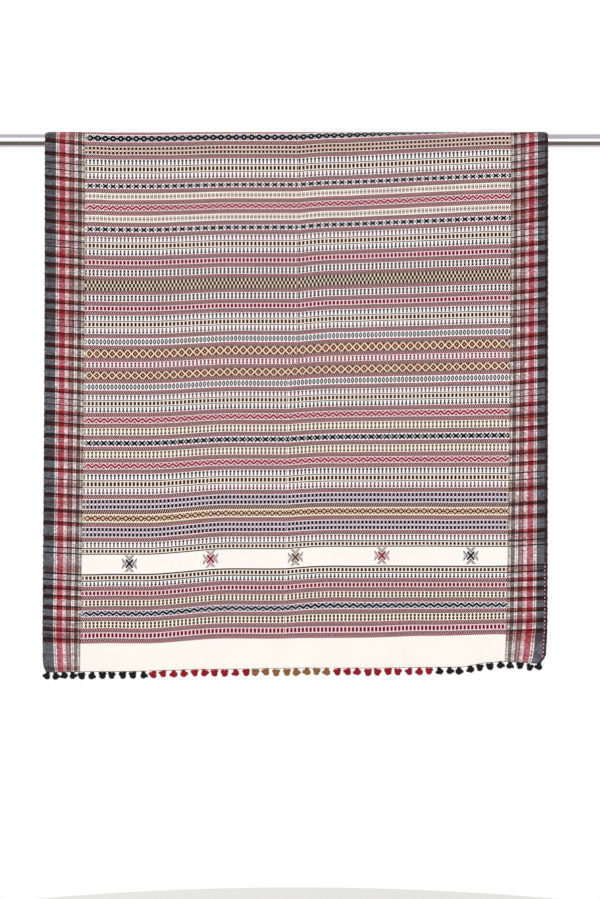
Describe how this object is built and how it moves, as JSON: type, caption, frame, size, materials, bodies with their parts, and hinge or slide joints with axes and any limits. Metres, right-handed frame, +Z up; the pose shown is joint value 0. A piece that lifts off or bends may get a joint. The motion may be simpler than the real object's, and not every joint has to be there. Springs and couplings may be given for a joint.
{
  "type": "handwoven shawl on a rail",
  "caption": "Flat handwoven shawl with banded figures, striped side borders and wool pompoms, hung over a round steel rail.",
  "frame": {"origin": "on the rail's axis, at the middle of the cloth's width, which is the mount rail_hold", "axes": "+X along the rail to the viewer's right, -Y towards the viewer of the front, +Z up"},
  "size_m": [1.28, 0.057, 1.0897],
  "materials": {
    "steel": "fine-brushed, satin to bright",
    "weave": "matt cotton and wool, banded cream, grey, maroon and black",
    "black_wool": "matt cut wool",
    "crimson_wool": "matt cut wool",
    "ochre_wool": "matt cut wool"
  },
  "bodies": {
    "root": {"rail": "steel", "shawl_over_rail_front": "weave", "shawl_over_rail_top": "weave", "shawl_over_rail_back": "weave", "shawl_front": "weave", "shawl_back": "weave", "pompoms_front_black_left": "black_wool", "pompoms_front_crimson_left": "crimson_wool", "pompoms_front_ochre": "ochre_wool", "pompoms_front_crimson_right": "crimson_wool", "pompoms_front_black_right": "black_wool", "pompoms_back_black_left": "black_wool", "pompoms_back_crimson_left": "crimson_wool", "pompoms_back_ochre": "ochre_wool", "pompoms_back_crimson_right": "crimson_wool", "pompoms_back_black_right": "black_wool"}
  },
  "joints": []
}
